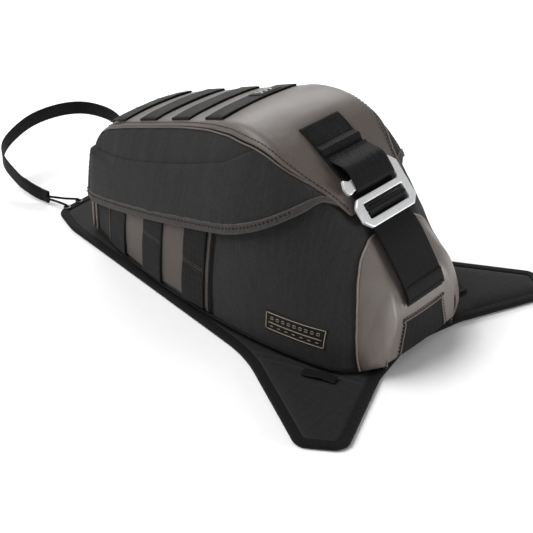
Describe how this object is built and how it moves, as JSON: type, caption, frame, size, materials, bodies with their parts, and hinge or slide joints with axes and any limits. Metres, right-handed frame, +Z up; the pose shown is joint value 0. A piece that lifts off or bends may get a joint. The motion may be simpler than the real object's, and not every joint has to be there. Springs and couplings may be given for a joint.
{
  "type": "motorcycle tank bag",
  "caption": "Soft motorcycle tank bag on a four-lobed padded apron, with a front-hinged hood, wide closure webbing and a G-shaped metal hook.",
  "frame": {"origin": "on the underside of the apron, on the centre line, midway between the front and rear faces of the bag body", "axes": "+Z up, away from the tank; +X towards the rider; +Y to the rider's right"},
  "size_m": [0.5714, 0.3412, 0.1893],
  "materials": {
    "neoprene": "matt padded neoprene",
    "binding": "woven edge tape",
    "cordura": "coarse woven nylon",
    "webbing": "ribbed nylon webbing",
    "faux_leather": "satin grained synthetic leather",
    "piping": "stitched piping",
    "grip": "soft non-slip rubberised backing",
    "lining": "smooth coated lining",
    "foam": "closed-cell foam",
    "board": "stiffener board",
    "hook_loop": "hook-and-loop tape",
    "label": "woven label",
    "badge": "brushed badge",
    "alu": "satin blasted aluminium",
    "steel": "bright steel"
  },
  "bodies": {
    "bag": {"apron_mat": "neoprene", "apron_binding": "binding", "grip_backing": "grip", "mat_fastener": "hook_loop", "bag_fastener": "hook_loop", "bag_base": "cordura", "base_board": "board", "side_panel_left": "cordura", "side_panel_right": "cordura", "front_panel": "faux_leather", "rear_panel": "cordura", "rear_arch_panel": "faux_leather", "rear_arch_piping": "piping", "rear_patch": "webbing", "side_trim_left": "faux_leather", "side_trim_right": "faux_leather", "side_webbing_left": "webbing", "side_webbing_right": "webbing", "side_piping_left": "piping", "side_piping_right": "piping", "label_patch": "label", "side_foam_left": "foam", "side_foam_right": "foam", "inner_liner": "lining", "rim_binding": "binding", "strap_eyelets": "steel", "wing_fold_left": "neoprene", "wing_fold_right": "neoprene"},
    "lid": {"lid_top_panel": "faux_leather", "lid_side_left": "cordura", "lid_side_right": "cordura", "lid_front_skirt": "cordura", "lid_hem_binding": "binding", "lid_piping": "piping", "lid_foam": "foam", "lid_lining": "lining", "lid_webbing": "webbing", "badge_patch": "badge", "closure_webbing": "webbing", "catch_loop": "webbing"},
    "closure": {"closure_strap": "webbing", "closure_tail": "webbing", "strap_wrap": "webbing"},
    "hook": {"g_hook": "alu", "hook_bar": "steel"},
    "wing_left": {"wing_pad_left": "neoprene", "wing_binding_left": "binding", "wing_grip_left": "grip", "wing_magnets_left": "steel", "pull_tab_left": "webbing"},
    "wing_right": {"wing_pad_right": "neoprene", "wing_binding_right": "binding", "wing_grip_right": "grip", "wing_magnets_right": "steel", "pull_tab_right": "webbing"},
    "strap": {"front_strap": "webbing", "strap_ends": "webbing", "bridle_cord_left": "webbing", "bridle_cord_right": "webbing"}
  },
  "joints": [
    {"name": "lid_open", "type": "hinge", "parent": "bag", "child": "lid", "pos_m": [-0.1925, 0, 0.034], "axis": [0, -1, 0], "range_deg": [0, 64], "deforming": ["catch_loop"]},
    {"name": "strap_swing", "type": "hinge", "parent": "bag", "child": "closure", "pos_m": [0.1855, 0, 0.0559], "axis": [0, 1, 0], "range_deg": [0, 148]},
    {"name": "hook_tilt", "type": "hinge", "parent": "closure", "child": "hook", "pos_m": [0.13853, 0, 0.13197], "axis": [0, 1, 0], "range_deg": [0, 40], "deforming": ["strap_wrap"]},
    {"name": "wing_left_flex", "type": "hinge", "parent": "bag", "child": "wing_left", "pos_m": [0.125, -0.093, 0.0021], "axis": [0.9471, 0.321, 0], "range_deg": [-30, 40], "stiffness_Nm_per_rad": 0.4, "deforming": ["wing_fold_left"]},
    {"name": "wing_right_flex", "type": "hinge", "parent": "bag", "child": "wing_right", "pos_m": [0.125, 0.093, 0.0021], "axis": [-0.9471, 0.321, 0], "range_deg": [-30, 40], "stiffness_Nm_per_rad": 0.4, "deforming": ["wing_fold_right"]},
    {"name": "front_strap_swing", "type": "hinge", "parent": "bag", "child": "strap", "pos_m": [-0.2333, 0, 0.0074], "axis": [0, 1, 0], "range_deg": [-8, 45], "stiffness_Nm_per_rad": 0.2}
  ],
  "couplings": [
    {"joint": "strap_swing", "follows": "lid_open", "ratio": 2.3},
    {"joint": "hook_tilt", "follows": "lid_open", "ratio": 0.6}
  ]
}
